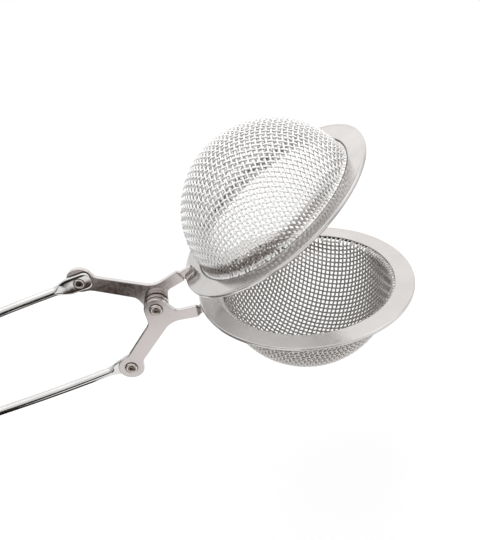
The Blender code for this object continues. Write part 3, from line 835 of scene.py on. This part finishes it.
def leg_mesh(plug):
    """A leg of the handle in its own frame, the pivot at the origin; plug adds the thinner end."""
    line = blade_tip() + leg_side()
    line += leg_bend(*line[-1][:2])
    if plug:
        line += leg_plug(*line[-1][:2])
    verts = []
    for x, z, heading, width, depth, square in line:
        across = Vector((math.sin(heading), 0.0, math.cos(heading)))
        for n in range(WIRE_SIDES):
            a = 2.0 * math.pi * n / WIRE_SIDES
            c, s = math.cos(a), math.sin(a)
            u = math.copysign(abs(c) ** (2.0 / square), c) * width
            v = math.copysign(abs(s) ** (2.0 / square), s) * depth
            verts.append(Vector((x, v, z)) + across * u)
    return new_mesh("leg", verts, tube_faces(0, len(line), WIRE_SIDES))


# ---------------------------------------------------------------- build
def build_half(half, matrix, ball, turn, woven, polished):
    """Rim plate, flange ring, cloth and lever of one half."""
    body = half + "_half"
    rim = lathe(rim_profile(), RIM_SEGMENTS, "Z")
    add(half + "_rim", rim, polished, matrix @ ball, body, [half + "_rim_plate"])
    ring = lathe(ring_profile(), RIM_SEGMENTS, "Z")
    add(half + "_ring", ring, polished, matrix @ ball, body, [half + "_flange_ring"])
    net = tubes(net_strands(turn), NET_WIRE_RADIUS, NET_SIDES)
    add(half + "_net", net, woven, matrix @ ball, body, [half + "_mesh_bowl"], 180.0, False)
    dress(half + "_plate", lever_mesh(), stamped, matrix, body, [half + "_lever"], 30.0)


def build_rivets_and_spacer():
    for name, node, body, pin, sizes in RIVETS:
        rivet = lathe(rivet_profile(*sizes), RIVET_SEGMENTS, "Y", False)
        add(name, rivet, rivet_steel, Matrix.Translation(pin), body, [node])
    profile = washer_profile(SPACER_INNER, SPACER_OUTER, -SPACER_HALF, SPACER_HALF)
    spacer = lathe(profile, WASHER_SEGMENTS, "Y")
    add("spacer_look", spacer, rivet_steel, Matrix.Translation(PIVOT), "lower_half", ["centre_spacer"])


def build_handle():
    """The two legs, each swung back by half the angle between the halves."""
    swing = Matrix.Rotation(-OPEN_ANGLE / 2.0, 4, "Y")
    over = Matrix.Rotation(math.pi, 4, "X")
    dress("upper_leg_look", leg_mesh(True), wire_steel, Matrix.Translation(UPPER_PIN) @ swing, "upper_leg",
          ["upper_handle_leg"], 50.0, False)
    dress("lower_leg_look", leg_mesh(False), wire_steel, Matrix.Translation(LOWER_PIN) @ swing @ over,
          "lower_leg", ["lower_handle_leg"], 50.0, False)


build_half("upper", UPPER, BALL, UPPER_TURN, net_upper, flange_upper)
build_half("lower", LOWER, BALL_LOWER, LOWER_TURN, net_lower, flange_lower)
build_rivets_and_spacer()
build_handle()

# ---------------------------------------------------------------- stage
DARK = (0.020, 0.017, 0.015, 1.0)
LEVER_DARK = (0.055, 0.034, 0.022, 1.0)
BRIGHT = (1.0, 0.99, 0.98, 1.0)
ON_TABLE = -0.030
FLOOR_SIZE, FLOOR_Z = 6.0, -32.0 * MM

# Cards seen only in reflections: name, middle, size, turn about X, Y and Z in degrees, colour, strength
CARDS = (
    ("front_flag", (-0.225, -0.62, 0.045), (1.15, 0.15), (90.0, 0.0, 0.0), DARK, 1.0),
    ("table_flag", (0.364, -0.140, ON_TABLE), (0.672, 0.056), (0.0, 0.0, 0.0), DARK, 1.0),
    ("lever_flag", (-0.0109, -0.0532, 0.010), (0.048, 0.027), (0.0, 0.0, -37.0), LEVER_DARK, 1.0),
    ("bowl_flag", (0.056, 0.0, 0.034), (0.036, 0.036), (0.0, 0.0, 0.0), DARK, 1.0),
    ("arm_flag", (-0.0475, 0.110, ON_TABLE), (0.045, 0.10), (0.0, 0.0, 0.0), DARK, 1.0),
    ("wire_flag", (-0.026, -0.0125, ON_TABLE), (0.036, 0.065), (0.0, 0.0, 0.0), DARK, 1.0),
    ("handle_back_flag", (-0.186, 0.110, ON_TABLE), (0.228, 0.10), (0.0, 0.0, 0.0), DARK, 1.0),
    ("handle_flag", (-0.172, -0.220, ON_TABLE), (0.256, 0.56), (0.0, 0.0, 0.0), DARK, 1.0),
    ("back_card", (0.0, 0.62, 0.42), (1.2, 0.5), (-57.0, 0.0, 0.0), BRIGHT, 1.2),
    ("left_flag", (-0.75, 0.0, 0.10), (0.30, 1.2), (0.0, 90.0, 0.0), DARK, 1.0),
    ("right_flag", (0.75, 0.0, 0.05), (0.07, 1.2), (0.0, 90.0, 0.0), DARK, 1.0),
)

# Name, place, size and power in watts; both face the same point
SOFTBOXES = (
    ("key", (-0.25, 0.15, 0.75), (1.3, 1.1), 2.5),
    ("fill", (0.6, -0.1, 0.5), (0.5, 0.5), 0.8),
)
LIT_POINT = Vector((0.0, 0.0, 0.03))
WORLD_STRENGTH = 0.90


def floor_material():
    material, tree, shader = nodes_of("pale_floor")
    patches = ramp(tree, noise(tree, 6.0, 3.0), 0.0, 1.0)
    tree.links.new(mixed(tree, patches, *FLOOR_COLOURS), shader.inputs["Base Color"])
    shader.inputs["Roughness"].default_value = 0.9
    shader.inputs["Specular IOR Level"].default_value = 0.1
    return material


def glowing(name, colour, strength):
    material = bpy.data.materials.new(name)
    material.use_nodes = True
    tree = material.node_tree
    tree.nodes.clear()
    output = tree.nodes.new("ShaderNodeOutputMaterial")
    glow = tree.nodes.new("ShaderNodeEmission")
    glow.inputs["Color"].default_value = colour
    glow.inputs["Strength"].default_value = strength
    tree.links.new(glow.outputs["Emission"], output.inputs["Surface"])
    return material


def board(name, middle, size, material):
    """A flat rectangle with one material, its middle at a point."""
    w, h = size[0] / 2.0, size[1] / 2.0
    mesh = new_mesh(name, [(-w, -h, 0.0), (w, -h, 0.0), (w, h, 0.0), (-w, h, 0.0)], [(0, 1, 2, 3)])
    mesh.materials.append(material)
    plane = bpy.data.objects.new(name, mesh)
    bpy.context.scene.collection.objects.link(plane)
    plane.location = middle
    return plane


def card(name, middle, size, turn, colour, strength):
    """A board that only shiny surfaces see."""
    plane = board(name, middle, size, glowing(name, colour, strength))
    plane.rotation_euler = [math.radians(angle) for angle in turn]
    plane.visible_camera = False
    plane.visible_diffuse = False
    plane.visible_shadow = False


def softbox(name, place, size, power):
    data = bpy.data.lights.new(name, "AREA")
    data.shape = "RECTANGLE"
    data.size, data.size_y = size
    data.energy = power
    lamp = bpy.data.objects.new(name, data)
    bpy.context.scene.collection.objects.link(lamp)
    lamp.location = place
    lamp.rotation_euler = (LIT_POINT - Vector(place)).to_track_quat("-Z", "Y").to_euler()


def world():
    """A white surround."""
    surround = bpy.data.worlds.new("studio")
    bpy.context.scene.world = surround
    surround.use_nodes = True
    background = surround.node_tree.nodes["Background"]
    background.inputs["Color"].default_value = (1.0, 1.0, 1.0, 1.0)
    background.inputs["Strength"].default_value = WORLD_STRENGTH


board("floor", (0.0, 0.0, FLOOR_Z), (FLOOR_SIZE, FLOOR_SIZE), floor_material())
world()
for row in CARDS:
    card(*row)
for row in SOFTBOXES:
    softbox(*row)

# ---------------------------------------------------------------- camera
# Turned about the vertical, looking down, and rolled, as the photo was taken
VIEW_TURN, VIEW_DOWN, VIEW_ROLL = math.radians(-2.28), math.radians(32.46), math.radians(-7.55)
VIEW_DISTANCE = 186.75 * MM
VIEW_TARGET = PIVOT + Vector((22.15 * MM, 0.0, 7.76 * MM))
CLIP_START = 0.01
# In millimetres, as Blender counts them
SENSOR_WIDTH, FOCAL_LENGTH = 36.0, 50.45


def camera():
    """The photo's viewpoint."""
    level, down = math.cos(VIEW_DOWN), math.sin(VIEW_DOWN)
    forward = Vector((math.sin(VIEW_TURN) * level, math.cos(VIEW_TURN) * level, -down))
    right = Vector((math.cos(VIEW_TURN), -math.sin(VIEW_TURN), 0.0))
    up = right.cross(forward)
    rolled_right = right * math.cos(VIEW_ROLL) + up * math.sin(VIEW_ROLL)
    rolled_up = up * math.cos(VIEW_ROLL) - right * math.sin(VIEW_ROLL)
    data = bpy.data.cameras.new("camera")
    data.sensor_width = SENSOR_WIDTH
    data.lens = FOCAL_LENGTH
    data.clip_start = CLIP_START
    viewer = bpy.data.objects.new("camera", data)
    bpy.context.scene.collection.objects.link(viewer)
    basis = Matrix((rolled_right, rolled_up, -forward)).transposed().to_4x4()
    viewer.matrix_world = Matrix.Translation(VIEW_TARGET - forward * VIEW_DISTANCE) @ basis
    bpy.context.scene.camera = viewer


camera()
bpy.context.scene.view_settings.view_transform = "Standard"
